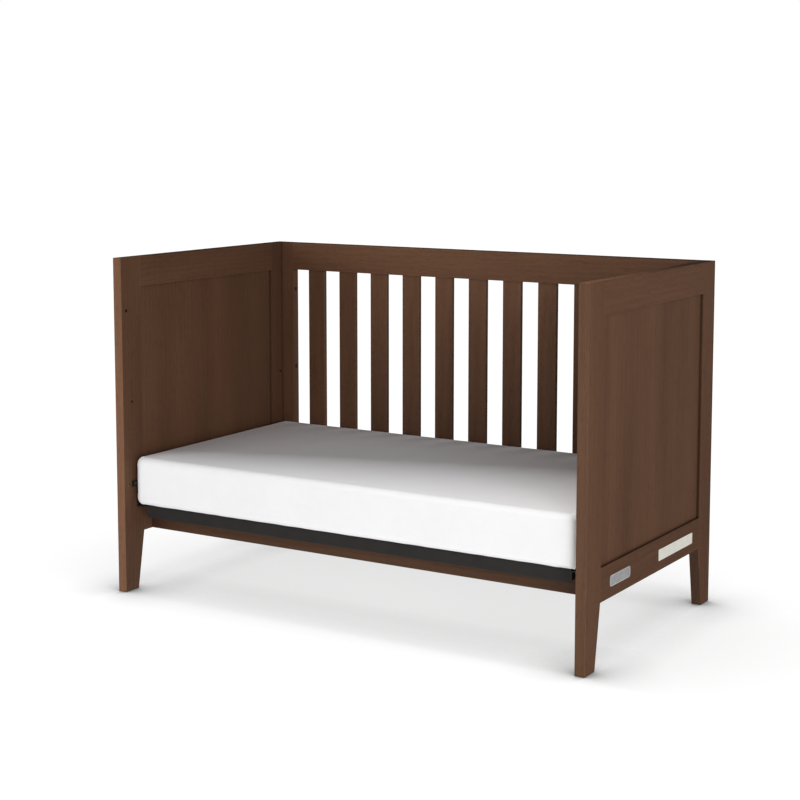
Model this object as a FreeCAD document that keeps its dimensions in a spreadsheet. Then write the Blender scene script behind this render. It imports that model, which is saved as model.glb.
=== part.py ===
import FreeCAD, Part
import os
import re
import Sketcher

# Convertible baby crib in its day-bed form: two panelled ends, a slatted back, a front
# stretcher, a sprung steel mattress support that hangs on four bolts, and a mattress in a
# fitted sheet. Millimetres. X runs along the length, the open front faces -Y, +Z is up, and
# the origin is on the floor at the middle of the footprint.

DIMENSIONS = {
    # The whole bed.
    "overall_length": 1384,
    "overall_width": 748,
    "overall_height": 900,
    "floor_gap": 1,
    "edge_rounding": 2,
    # End frames: legs, rails and a flat panel held in grooves.
    "board_thickness": 27,
    "leg_width": 78,
    "foot_width": 52,
    "rail_underside": 156,
    "top_rail_height": 80,
    "bottom_rail_height": 82,
    "panel_thickness": 13,
    "groove_depth": 8,
    "groove_slack": 0.5,
    "tenon_length": 25,
    "tenon_thickness": 12,
    "tenon_shoulder": 10,
    # Back: stiles, rails and slats.
    "back_thickness": 25,
    "back_stile_width": 41,
    "back_tenon_length": 20,
    "slat_count": 11,
    "slat_width": 58,
    "slat_thickness": 12,
    "slat_rounding": 3,
    "slat_tenon_length": 12,
    "slat_tenon_thickness": 8,
    "slat_tenon_width": 46,
    # Front stretcher and the angle brackets behind it.
    "stretcher_setback": 112,
    "stretcher_thickness": 20,
    "stretcher_height": 48,
    "bracket_leg": 30,
    "bracket_height": 32,
    "bracket_sheet": 2.5,
    "screw_radius": 2,
    "screw_length": 14,
    "screw_head_radius": 3.8,
    "screw_head_height": 1.8,
    "screw_row": 8,
    "screw_offset": 18,
    # Threaded inserts and the bolts that enter them.
    "insert_radius": 5,
    "insert_bore_radius": 3,
    "insert_length": 15,
    "insert_bore_depth": 16,
    "bolt_radius": 2.9,
    "back_bolt_head_radius": 5,
    "back_bolt_head_height": 6,
    "back_bolt_length": 44,
    "back_bolt_end_share": 0.1,
    "counterbore_radius": 6,
    "counterbore_depth": 8,
    "front_insert_setback": 18.7,
    "front_insert_lower": 292.6,
    "front_insert_upper": 758.8,
    # Bolts that carry the mattress support, and the upper of its two heights.
    "support_bolt_setback": 36,
    "support_bolt_height": 293,
    "support_travel": 221,
    "support_bolt_head_radius": 5.5,
    "support_bolt_head_height": 3.2,
    "support_bolt_length": 17,
    "support_bolt_stand_off": 4,
    "socket_radius": 2.3,
    "socket_depth": 2.2,
    # Mattress support: angle-iron frame with a taller web on its long sides, cross tubes, wire
    # deck and springs.
    "support_setback": 50,
    "support_end_gap": 36,
    "support_top": 235,
    "angle_width": 28,
    "long_web_height": 34,
    "angle_sheet": 2.5,
    "cross_tube_radius": 7,
    "cross_tube_bore": 5.5,
    "cross_tube_height": 216,
    "cross_tube_spacing": 600,
    "wire_radius": 1.5,
    "deck_height": 227,
    "long_wire_count": 7,
    "long_wire_pitch": 70,
    "cross_wire_count": 13,
    "cross_wire_pitch": 90,
    "spring_radius": 4.5,
    "spring_length": 34,
    "spring_hook_length": 6,
    "spring_hook_radius": 1,
    "hook_hole_radius": 2,
    "hook_hole_inset": 5,
    # Fork-shaped brackets at the corners of the support.
    "fork_sheet": 3,
    "fork_gap": 0.5,
    "fork_width": 11,
    "fork_slot_radius": 3.3,
    "fork_rise": 5.5,
    "fork_drop": 9,
    "fork_foot_height": 8,
    "fork_web_width": 24,
    # Mattress and its fitted sheet.
    "mattress_length": 1319,
    "mattress_setback": 26,
    "mattress_depth": 694,
    "mattress_bottom": 236,
    "mattress_height": 135,
    "mattress_corner_radius": 28,
    "mattress_edge_radius": 20,
    "bedsheet_thickness": 1.2,
    "bedsheet_hem": 90,
    # Glides under the feet, and the blank plates on the right end.
    "glide_radius": 10,
    "glide_head_height": 3,
    "glide_pin_radius": 3,
    "glide_pin_length": 14,
    "badge_start": 129,
    "badge_length": 113,
    "badge_bottom": 182,
    "badge_height": 26.5,
    "badge_thickness": 1.5,
    "badge_recess": 1.2,
    "badge_corner": 7,
    "badge_rim": 2,
    "badge_field_depth": 0.4,
    "label_start": 411,
    "label_length": 215,
    "label_bottom": 181,
    "label_height": 28.5,
    "label_thickness": 0.3,
    "label_corner": 3,
    # Cutting tools run this far past the face that they enter.
    "overshoot": 1,
}

# Planes that several parts share, measured from the middle of the footprint.
END_INNER = "(overall_length / 2 - board_thickness)"
HALF_WIDTH = "(overall_width / 2)"
BACK_FACE = "(overall_width / 2 - back_thickness)"
PANEL_SPAN = "(overall_width - 2 * leg_width)"
BACK_SPAN = "(overall_length - 2 * board_thickness - 2 * back_stile_width)"
RECESS_TOP = "(overall_height - top_rail_height)"
RECESS_BOTTOM = "(rail_underside + bottom_rail_height)"
SUPPORT_HALF_LENGTH = "(overall_length / 2 - board_thickness - support_end_gap)"
SUPPORT_HALF_WIDTH = "(overall_width / 2 - support_setback)"
SUPPORT_BOLT_Y = "(overall_width / 2 - support_bolt_setback)"
# Rows of the bracket screws, counted in steps of screw_row above the rail's underside.
SCREW_ROWS = (2, 4)
SIDES = (("left", -1), ("right", 1))
PLUS_X, PLUS_Y, PLUS_Z = "+x", "+y", "+z"
MINUS_X, MINUS_Y = "-x", "-y"
TURNS = {
    PLUS_Z: FreeCAD.Rotation(),
    PLUS_X: FreeCAD.Rotation(FreeCAD.Vector(0, 1, 0), 90),
    MINUS_X: FreeCAD.Rotation(FreeCAD.Vector(0, 1, 0), -90),
    PLUS_Y: FreeCAD.Rotation(FreeCAD.Vector(1, 0, 0), -90),
    MINUS_Y: FreeCAD.Rotation(FreeCAD.Vector(1, 0, 0), 90),
}
HALF_TURN = FreeCAD.Rotation(FreeCAD.Vector(0, 0, 1), 180)

doc = FreeCAD.newDocument("baby_crib")
dimension_sheet = doc.addObject("Spreadsheet::Sheet", "Dimensions")
for row, (alias, value) in enumerate(DIMENSIONS.items(), start=1):
    dimension_sheet.set(f"A{row}", alias)
    dimension_sheet.set(f"B{row}", str(value))
    dimension_sheet.setAlias(f"B{row}", alias)
doc.recompute()

nodes = []


# ---------------------------------------------------------------- drawing helpers

def cells(text):
    """An expression in which each dimension's name stands for its cell."""
    return re.sub(r"[a-z_]+", lambda word: "Dimensions." + word.group()
                  if word.group() in DIMENSIONS else word.group(), str(text))


def bind(thing, **properties):
    for name, text in properties.items():
        thing.setExpression(name, cells(text))


def place(thing, x, y, z, turn=FreeCAD.Rotation()):
    """Turns an object and binds its position."""
    thing.Placement = FreeCAD.Placement(FreeCAD.Vector(), turn)
    for axis, text in zip("xyz", (x, y, z)):
        thing.setExpression(f"Placement.Base.{axis}", cells(text))
    return thing


def keep(label, thing):
    """Makes an object a sub-part with a name of its own."""
    thing.Label = label
    nodes.append(thing)
    return thing


def block(name, corner, size):
    """A box from its lowest corner and its three sizes."""
    box = doc.addObject("Part::Box", name)
    bind(box, Length=size[0], Width=size[1], Height=size[2])
    return place(box, *corner)


def rod(name, start, direction, length, radius):
    """A round bar that runs from a point along an axis."""
    cylinder = doc.addObject("Part::Cylinder", name)
    bind(cylinder, Height=length, Radius=radius)
    return place(cylinder, *start, TURNS[direction])


def fuse(name, pieces):
    joined = doc.addObject("Part::MultiFuse", name)
    joined.Shapes = pieces
    return joined


def group(name, pieces):
    """Separate solids that share one sub-part."""
    together = doc.addObject("Part::Compound", name)
    together.Links = pieces
    return together


def cut(name, base, tools):
    result = doc.addObject("Part::Cut", name)
    result.Base = base
    result.Tool = tools[0] if len(tools) == 1 else group(name + "_tools", tools)
    return result


def outline(body, name, role, corners):
    """A closed outline of straight lines on one of the body's own planes."""
    sketch = body.newObject("Sketcher::SketchObject", name)
    origin_plane = next(plane for plane in body.Origin.OriginFeatures if plane.Role == role)
    sketch.AttachmentSupport = [(origin_plane, "")]
    sketch.MapMode = "FlatFace"
    count = len(corners)
    starts = [FreeCAD.Vector(index + 1, (index * index) % 7, 0) for index in range(count)]
    for index in range(count):
        sketch.addGeometry(Part.LineSegment(starts[index], starts[(index + 1) % count]), False)
    for index in range(count):
        sketch.addConstraint(Sketcher.Constraint("Coincident", index, 2, (index + 1) % count, 1))
    for index, corner in enumerate(corners):
        for kind, text in zip(("DistanceX", "DistanceY"), corner):
            number = sketch.addConstraint(Sketcher.Constraint(kind, -1, 1, index, 1, 1.0))
            sketch.setExpression(f"Constraints[{number}]", cells(text))
    return sketch


def rectangle(low_x, low_y, high_x, high_y):
    return [(low_x, low_y), (high_x, low_y), (high_x, high_y), (low_x, high_y)]


def extrude(body, name, kind, role, corners, depth):
    """A pad or pocket that reaches equally far on both sides of its plane."""
    feature = body.newObject(f"PartDesign::{kind}", name)
    feature.Profile = outline(body, name + "_outline", role, corners)
    feature.SideType = "Symmetric"
    bind(feature, Length=depth)
    doc.recompute()
    return feature


def round_edges(body, name, base, radius, wanted):
    """Rounds the edges of a feature that a test picks by their midpoints."""
    edges = base.Shape.Edges
    rounding = body.newObject("PartDesign::Fillet", name)
    rounding.Base = (base, [f"Edge{index + 1}" for index, edge in enumerate(edges)
                            if wanted(edge.CenterOfMass)])
    bind(rounding, Radius=radius)
    doc.recompute()
    return rounding


def new_body(name):
    return doc.addObject("PartDesign::Body", name)


def near(first, second):
    return abs(first - second) < 0.01


def name_plate(name, start, bottom, length, height, thickness, corner, inner_x):
    """A thin plate with rounded corners on the outer face of the right end."""
    body = new_body(name)
    plate = extrude(body, name + "_plate", "Pad", "YZ_Plane",
                    rectangle(0, 0, length, height), thickness)
    round_edges(body, name + "_corners", plate, corner, lambda middle: near(middle.x, 0))
    return place(body, f"{inner_x} + {thickness} / 2", f"{start} - {HALF_WIDTH}", bottom)


# ---------------------------------------------------------------- timber parts

def leg_body(name, x, y, turn):
    """A leg and stile in one board: straight outer edge, foot tapered on its inner edge."""
    body = new_body(name)
    board = extrude(body, name + "_board", "Pad", "YZ_Plane", [
        (0, "floor_gap"),
        ("foot_width", "floor_gap"),
        ("leg_width", "rail_underside"),
        ("leg_width", "overall_height"),
        (0, "overall_height"),
    ], "board_thickness")
    face = DIMENSIONS["board_thickness"] / 2
    inner = DIMENSIONS["leg_width"]
    round_edges(body, name + "_rounding", board, "edge_rounding",
                lambda middle: near(abs(middle.x), face) and not near(middle.y, inner))
    extrude(body, name + "_groove", "Pocket", "YZ_Plane", rectangle(
        "leg_width - groove_depth", f"{RECESS_BOTTOM} - groove_depth",
        "leg_width + overshoot", f"{RECESS_TOP} + groove_depth"), "panel_thickness")
    for which, bottom, height in (("upper", RECESS_TOP, "top_rail_height"),
                                  ("lower", "rail_underside", "bottom_rail_height")):
        extrude(body, f"{name}_{which}_mortise", "Pocket", "YZ_Plane", rectangle(
            "leg_width - tenon_length", f"{bottom} + tenon_shoulder",
            "leg_width + overshoot", f"{bottom} + {height} - tenon_shoulder"),
            "tenon_thickness")
    return place(body, x, y, 0, turn)


def end_rail(name, x, bottom, height, groove_bottom, outer_edge):
    """A rail between the legs of an end, with a tenon at both ends and a panel groove."""
    body = new_body(name + "_body")
    board = extrude(body, name + "_board", "Pad", "YZ_Plane",
                    rectangle(0, 0, PANEL_SPAN, height), "board_thickness")
    face = DIMENSIONS["board_thickness"] / 2
    round_edges(body, name + "_rounding", board, "edge_rounding",
                lambda middle: near(abs(middle.x), face) and near(middle.z, outer_edge))
    extrude(body, name + "_tenons", "Pad", "YZ_Plane", rectangle(
        "0 - tenon_length", "tenon_shoulder",
        f"{PANEL_SPAN} + tenon_length", f"{height} - tenon_shoulder"), "tenon_thickness")
    extrude(body, name + "_groove", "Pocket", "YZ_Plane", rectangle(
        "0 - overshoot", groove_bottom, f"{PANEL_SPAN} + overshoot",
        f"{groove_bottom} + groove_depth + overshoot"), "panel_thickness")
    return place(body, x, f"0 - {PANEL_SPAN} / 2", bottom)


def end_panel(name, x):
    """The flat panel, set back from both faces of its frame."""
    body = new_body(name)
    reach = "(groove_depth - groove_slack)"
    extrude(body, name + "_board", "Pad", "YZ_Plane", rectangle(
        f"0 - {PANEL_SPAN} / 2 - {reach}", f"{RECESS_BOTTOM} - {reach}",
        f"{PANEL_SPAN} / 2 + {reach}", f"{RECESS_TOP} + {reach}"), "panel_thickness")
    return place(body, x, 0, 0)


def back_stile(name, low_x, mortise_low, mortise_high):
    """An upright of the back, with a mortise for each rail in its slat-side edge."""
    body = new_body(name + "_body")
    board = extrude(body, name + "_board", "Pad", "XZ_Plane", rectangle(
        0, "rail_underside", "back_stile_width", "overall_height"), "back_thickness")
    face = DIMENSIONS["back_thickness"] / 2
    ends = (DIMENSIONS["rail_underside"], DIMENSIONS["overall_height"])
    round_edges(body, name + "_rounding", board, "edge_rounding",
                lambda middle: near(abs(middle.y), face)
                and any(near(middle.z, end) for end in ends))
    for which, bottom, height in (("upper", RECESS_TOP, "top_rail_height"),
                                  ("lower", "rail_underside", "bottom_rail_height")):
        extrude(body, f"{name}_{which}_mortise", "Pocket", "XZ_Plane", rectangle(
            mortise_low, f"{bottom} + tenon_shoulder",
            mortise_high, f"{bottom} + {height} - tenon_shoulder"), "tenon_thickness")
    return place(body, low_x, f"{BACK_FACE} + back_thickness / 2", 0)


def slat_left(index):
    """Left edge of a slat from the left end of the back rails, with equal gaps all along."""
    gap = f"(({BACK_SPAN} - slat_count * slat_width) / (slat_count + 1))"
    return f"({gap} + {index} * ({gap} + slat_width))"


def back_rail(name, bottom, height, mortise_bottom, outer_edge):
    """A rail of the back, tenoned into the stiles and mortised for every slat."""
    body = new_body(name)
    board = extrude(body, name + "_board", "Pad", "XZ_Plane",
                    rectangle(0, 0, BACK_SPAN, height), "back_thickness")
    face = DIMENSIONS["back_thickness"] / 2
    round_edges(body, name + "_rounding", board, "edge_rounding",
                lambda middle: near(abs(middle.y), face) and near(middle.z, outer_edge))
    extrude(body, name + "_tenons", "Pad", "XZ_Plane", rectangle(
        "0 - back_tenon_length", "tenon_shoulder",
        f"{BACK_SPAN} + back_tenon_length", f"{height} - tenon_shoulder"), "tenon_thickness")
    margin = "(slat_width - slat_tenon_width) / 2"
    mortise = extrude(body, name + "_mortise", "Pocket", "XZ_Plane", rectangle(
        f"{slat_left(0)} + {margin}", mortise_bottom,
        f"{slat_left(0)} + {margin} + slat_tenon_width",
        f"{mortise_bottom} + slat_tenon_length + overshoot"), "slat_tenon_thickness")
    row = body.newObject("PartDesign::LinearPattern", name + "_mortise_row")
    row.Originals = [mortise]
    row.Direction = (mortise.Profile[0], ["H_Axis"])
    bind(row, Length=f"{slat_left('(slat_count - 1)')} - {slat_left(0)}",
         Occurrences="slat_count")
    body.Tip = row
    doc.recompute()
    return place(body, f"0 - {BACK_SPAN} / 2", f"{BACK_FACE} + back_thickness / 2", bottom)


def back_slat(name, index):
    """A slat with rounded long edges and a thinner tenon at each end."""
    body = new_body(name)
    board = extrude(body, name + "_board", "Pad", "XZ_Plane", rectangle(
        0, RECESS_BOTTOM, "slat_width", RECESS_TOP), "slat_thickness")
    face = DIMENSIONS["slat_thickness"] / 2
    sides = (0, DIMENSIONS["slat_width"])
    round_edges(body, name + "_rounding", board, "slat_rounding",
                lambda middle: near(abs(middle.y), face)
                and any(near(middle.x, side) for side in sides))
    margin = "(slat_width - slat_tenon_width) / 2"
    extrude(body, name + "_tenons", "Pad", "XZ_Plane", rectangle(
        margin, f"{RECESS_BOTTOM} - slat_tenon_length",
        f"slat_width - {margin}", f"{RECESS_TOP} + slat_tenon_length"), "slat_tenon_thickness")
    return place(body, f"{slat_left(index)} - {BACK_SPAN} / 2",
                 f"{BACK_FACE} + back_thickness / 2", 0)


# ---------------------------------------------------------------- hardware parts

def sleeve(name, start, direction):
    """A threaded insert, its thread drawn as a plain bore."""
    outer = rod(name + "_outer", start, direction, "insert_length", "insert_radius")
    bore = rod(name + "_bore", start, direction, "insert_length", "insert_bore_radius")
    return cut(name, outer, [bore])


def bolt(name, start, direction, head, shank):
    """A screw with a round head that starts at a point, and a hexagon socket in the head."""
    head_radius, head_height = head
    shank_radius, shank_length = shank
    cap = rod(name + "_head", (0, 0, 0), PLUS_Z, head_height, head_radius)
    stem = rod(name + "_shank", (0, 0, head_height), PLUS_Z, shank_length, shank_radius)
    socket = doc.addObject("Part::Prism", name + "_socket")
    socket.Polygon = 6
    bind(socket, Circumradius="socket_radius", Height=f"min(socket_depth; {head_height} / 2)")
    screw = cut(name, fuse(name + "_solid", [cap, stem]), [socket])
    return place(screw, *start, TURNS[direction])


def spring(name, anchor, direction):
    """A tension spring's outer form, with its wire hooks at both ends."""
    axis = direction[1]
    sign = 1 if direction[0] == "+" else -1
    step = {"x": (sign, 0), "y": (0, sign)}[axis]
    x, y, z = anchor

    def along(distance):
        return f"{x} + ({step[0]}) * ({distance})", f"{y} + ({step[1]}) * ({distance})", z

    reach = "(hook_hole_inset + spring_hook_length)"
    outer_hook = rod(name + "_outer_hook", along(0), direction, reach, "spring_hook_radius")
    pin = rod(name + "_pin", anchor, PLUS_Z, f"support_top - ({z})", "spring_hook_radius")
    coil = rod(name + "_coil", along(reach), direction, "spring_length", "spring_radius")
    inner_hook = rod(name + "_inner_hook", along(f"{reach} + spring_length"), direction,
                     "spring_hook_length", "spring_hook_radius")
    return fuse(name, [outer_hook, pin, coil, inner_hook])


def angle_rail(name, turn, y, hole_height):
    """A long side of the support: steel angle, flange on top, with a row of hook holes."""
    body = new_body(name + "_body")
    extrude(body, name + "_angle", "Pad", "YZ_Plane", [
        (0, 0),
        ("angle_sheet", 0),
        ("angle_sheet", "long_web_height - angle_sheet"),
        ("angle_width", "long_web_height - angle_sheet"),
        ("angle_width", "long_web_height"),
        (0, "long_web_height"),
    ], f"2 * {SUPPORT_HALF_LENGTH}")
    place(body, 0, y, "support_top - long_web_height", turn)
    side = 1 if turn is HALF_TURN else -1
    holes = [rod(f"{name}_hole_{index}",
                 (f"({index} - (cross_wire_count - 1) / 2) * cross_wire_pitch",
                  f"({side}) * ({SUPPORT_HALF_WIDTH} - angle_width + hook_hole_inset)",
                  hole_height), PLUS_Z, "2 * angle_sheet", "hook_hole_radius")
             for index in range(DIMENSIONS["cross_wire_count"])]
    return cut(name, body, holes)


# ---------------------------------------------------------------- end frames

insert_bores = {}
front_inserts = []
upper_inserts = []
lower_inserts = []
support_bolts = []
for side_name, side in SIDES:
    inward = MINUS_X if side > 0 else PLUS_X
    outward = PLUS_X if side > 0 else MINUS_X
    face_x = f"({side}) * {END_INNER}"
    for end_name, end in (("front", -1), ("rear", 1)):
        bolt_y = f"({end}) * {SUPPORT_BOLT_Y}"
        bores = []
        for level, height, inserts in (
                ("lower", "support_bolt_height", lower_inserts),
                ("upper", "support_bolt_height + support_travel", upper_inserts)):
            name = f"{side_name}_{end_name}_{level}_support_insert"
            inserts.append(sleeve(name, (face_x, bolt_y, height), outward))
            bores.append(rod(name + "_seat", (face_x, bolt_y, height), outward,
                             "insert_bore_depth", "insert_radius"))
        head_x = (f"({side}) * ({END_INNER} - support_bolt_stand_off"
                  f" - support_bolt_head_height)")
        support_bolts.append(bolt(
            f"{side_name}_{end_name}_support_bolt",
            (head_x, bolt_y, "support_bolt_height"), outward,
            ("support_bolt_head_radius", "support_bolt_head_height"),
            ("bolt_radius", "support_bolt_length")))
        insert_bores[side_name, end_name] = bores
    for level in ("lower", "upper"):
        name = f"{side_name}_front_rail_{level}_insert"
        start = (face_x, f"front_insert_setback - {HALF_WIDTH}", f"front_insert_{level}")
        front_inserts.append(sleeve(name, start, outward))
        insert_bores[side_name, "front"].append(
            rod(name + "_seat", start, outward, "insert_bore_depth", "insert_radius"))

back_bolt_heights = [
    f"{RECESS_BOTTOM} + ({RECESS_TOP} - {RECESS_BOTTOM}) * {share}"
    for share in ("back_bolt_end_share", "1 / 2", "(1 - back_bolt_end_share)")]
back_axis_y = f"{BACK_FACE} + back_thickness / 2"
back_bolts = []
back_inserts = []
stile_bores = {"left": [], "right": []}
for side_name, side in SIDES:
    outward = PLUS_X if side > 0 else MINUS_X
    edge_x = f"({side}) * {BACK_SPAN} / 2"
    seat_x = f"({side}) * ({BACK_SPAN} / 2 + counterbore_depth)"
    head_x = f"({side}) * ({BACK_SPAN} / 2 + counterbore_depth - back_bolt_head_height)"
    face_x = f"({side}) * {END_INNER}"
    for number, height in enumerate(back_bolt_heights, start=1):
        name = f"{side_name}_back_bolt_{number}"
        back_bolts.append(bolt(
            name, (head_x, back_axis_y, height), outward,
            ("back_bolt_head_radius", "back_bolt_head_height"),
            ("bolt_radius", "back_bolt_length")))
        back_inserts.append(sleeve(name + "_insert", (face_x, back_axis_y, height), outward))
        insert_bores[side_name, "rear"].append(
            rod(name + "_insert_seat", (face_x, back_axis_y, height), outward,
                "insert_bore_depth", "insert_radius"))
        stile_bores[side_name] += [
            rod(name + "_counterbore", (edge_x, back_axis_y, height), outward,
                "counterbore_depth", "counterbore_radius"),
            rod(name + "_clearance", (seat_x, back_axis_y, height), outward,
                "back_stile_width", "insert_bore_radius")]

glides = []
for side_name, side in SIDES:
    mid_x = f"({side}) * (overall_length / 2 - board_thickness / 2)"
    for end_name, end, turn in (("front", -1, FreeCAD.Rotation()), ("rear", 1, HALF_TURN)):
        name = f"{side_name}_{end_name}_leg"
        foot_y = f"({end}) * ({HALF_WIDTH} - foot_width / 2)"
        glide = f"{side_name}_{end_name}_glide"
        glides.append(fuse(glide, [
            rod(glide + "_head", (mid_x, foot_y, 0), PLUS_Z, "glide_head_height",
                "glide_radius"),
            rod(glide + "_pin", (mid_x, foot_y, "glide_head_height"), PLUS_Z,
                "glide_pin_length", "glide_pin_radius")]))
        seats = [
            rod(glide + "_seat", (mid_x, foot_y, "0 - overshoot"), PLUS_Z,
                "glide_head_height + overshoot", "glide_radius"),
            rod(glide + "_pin_seat", (mid_x, foot_y, 0), PLUS_Z,
                "glide_head_height + glide_pin_length", "glide_pin_radius")]
        body = leg_body(name + "_body", mid_x, f"({end}) * {HALF_WIDTH}", turn)
        keep(name, cut(name, body, insert_bores[side_name, end_name] + seats))
    keep(f"{side_name}_top_rail", end_rail(
        f"{side_name}_top_rail", mid_x, RECESS_TOP, "top_rail_height", "0 - overshoot",
        DIMENSIONS["top_rail_height"]))
    lower_rail = end_rail(
        f"{side_name}_bottom_rail", mid_x, "rail_underside", "bottom_rail_height",
        "bottom_rail_height - groove_depth", 0)
    screw_y = (f"stretcher_setback + stretcher_thickness + screw_offset"
               f" - {HALF_WIDTH}")
    screw_seats = [
        rod(f"{side_name}_rail_screw_seat_{row}",
            (f"({side}) * {END_INNER}", screw_y, f"rail_underside + screw_row * {row}"),
            PLUS_X if side > 0 else MINUS_X, "screw_length", "screw_radius")
        for row in SCREW_ROWS]
    if side > 0:
        screw_seats.append(name_plate(
            "badge_seat", "badge_start", "badge_bottom", "badge_length", "badge_height",
            "(badge_recess + overshoot)", "badge_corner", "overall_length / 2 - badge_recess"))
    keep(f"{side_name}_bottom_rail",
         cut(f"{side_name}_bottom_rail", lower_rail, screw_seats))
    keep(f"{side_name}_panel", end_panel(f"{side_name}_panel", mid_x))

# ---------------------------------------------------------------- back

for side_name, side in SIDES:
    name = f"back_{side_name}_stile"
    if side > 0:
        stile = back_stile(name, f"{BACK_SPAN} / 2", "0 - overshoot", "back_tenon_length")
    else:
        stile = back_stile(name, f"0 - {END_INNER}", "back_stile_width - back_tenon_length",
                           "back_stile_width + overshoot")
    keep(name, cut(name, stile, stile_bores[side_name]))
keep("back_top_rail", back_rail("back_top_rail", RECESS_TOP, "top_rail_height",
                                "0 - overshoot", DIMENSIONS["top_rail_height"]))
keep("back_bottom_rail", back_rail(
    "back_bottom_rail", "rail_underside", "bottom_rail_height",
    "bottom_rail_height - slat_tenon_length", 0))
for index in range(DIMENSIONS["slat_count"]):
    name = f"back_slat_{index + 1:02d}"
    keep(name, back_slat(name, index))

# ---------------------------------------------------------------- front stretcher

stretcher_body = new_body("front_stretcher_body")
stretcher_board = extrude(stretcher_body, "front_stretcher_board", "Pad", "YZ_Plane",
                          rectangle(0, 0, "stretcher_thickness", "stretcher_height"),
                          f"2 * {END_INNER}")
round_edges(stretcher_body, "front_stretcher_rounding", stretcher_board, "edge_rounding",
            lambda middle: near(middle.x, 0))
place(stretcher_body, 0, f"stretcher_setback - {HALF_WIDTH}", "rail_underside")

stretcher_rear = f"(stretcher_setback + stretcher_thickness - {HALF_WIDTH})"
stretcher_seats = []
brackets = []
bracket_screws = []
screw_head = ("screw_head_radius", "screw_head_height")
screw_shank = ("screw_radius", "screw_length")
for side_name, side in SIDES:
    corner_x = f"({side}) * {END_INNER}"
    low_x = f"({side}) * {END_INNER} - {(side + 1) // 2} * bracket_leg"
    sheet_x = f"({side}) * {END_INNER} - {(side + 1) // 2} * bracket_sheet"
    name = f"{side_name}_stretcher_bracket"
    low_z = "rail_underside + screw_row"
    angle = fuse(name + "_angle", [
        block(name + "_on_stretcher", (low_x, stretcher_rear, low_z),
              ("bracket_leg", "bracket_sheet", "bracket_height")),
        block(name + "_on_rail", (sheet_x, stretcher_rear, low_z),
              ("bracket_sheet", "bracket_leg", "bracket_height"))])
    holes = []
    outward = PLUS_X if side > 0 else MINUS_X
    for row in SCREW_ROWS:
        screw_z = f"rail_underside + screw_row * {row}"
        along_x = f"({side}) * ({END_INNER} - screw_offset)"
        along_y = f"{stretcher_rear} + screw_offset"
        holes += [
            rod(f"{name}_stretcher_hole_{row}", (along_x, stretcher_rear, screw_z), PLUS_Y,
                "bracket_sheet", "screw_radius"),
            rod(f"{name}_rail_hole_{row}",
                (f"({side}) * ({END_INNER} - bracket_sheet)", along_y, screw_z), outward,
                "bracket_sheet", "screw_radius")]
        stretcher_seats.append(rod(
            f"{name}_stretcher_seat_{row}", (along_x, stretcher_rear, screw_z), MINUS_Y,
            "screw_length", "screw_radius"))
        bracket_screws += [
            bolt(f"{name}_stretcher_screw_{row}",
                 (along_x, f"{stretcher_rear} + bracket_sheet + screw_head_height", screw_z),
                 MINUS_Y, screw_head, screw_shank),
            bolt(f"{name}_rail_screw_{row}",
                 (f"({side}) * ({END_INNER} - bracket_sheet - screw_head_height)",
                  along_y, screw_z), outward, screw_head, screw_shank)]
    brackets.append(cut(name, angle, holes))
keep("front_stretcher", cut("front_stretcher", stretcher_body, stretcher_seats))
keep("stretcher_brackets", group("stretcher_brackets", brackets))
keep("stretcher_screws", group("stretcher_screws", bracket_screws))

# ---------------------------------------------------------------- bolts, inserts and glides

keep("back_bolts", group("back_bolts", back_bolts))
keep("back_inserts", group("back_inserts", back_inserts))
keep("front_rail_inserts", group("front_rail_inserts", front_inserts))
keep("support_inserts_upper", group("support_inserts_upper", upper_inserts))
keep("support_inserts_lower", group("support_inserts_lower", lower_inserts))
keep("support_bolts", group("support_bolts", support_bolts))
keep("floor_glides", group("floor_glides", glides))

# ---------------------------------------------------------------- blank plates

badge = name_plate(
    "badge_blank", "badge_start", "badge_bottom", "badge_length", "badge_height",
    "badge_thickness", "badge_corner", "overall_length / 2 - badge_recess")
badge_field = name_plate(
    "badge_field", "badge_start + badge_rim", "badge_bottom + badge_rim",
    "(badge_length - 2 * badge_rim)", "(badge_height - 2 * badge_rim)",
    "(badge_field_depth + overshoot)", "badge_corner - badge_rim",
    "overall_length / 2 - badge_recess + badge_thickness - badge_field_depth")
keep("badge_plate", cut("badge_plate", badge, [badge_field]))
keep("label_strip", name_plate(
    "label_strip", "label_start", "label_bottom", "label_length", "label_height",
    "label_thickness", "label_corner", "overall_length / 2"))

# ---------------------------------------------------------------- mattress support

hole_height = "support_top - 1.5 * angle_sheet"
keep("support_front_rail", angle_rail(
    "support_front_rail", FreeCAD.Rotation(), f"0 - {SUPPORT_HALF_WIDTH}", hole_height))
keep("support_rear_rail", angle_rail(
    "support_rear_rail", HALF_TURN, SUPPORT_HALF_WIDTH, hole_height))

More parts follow.
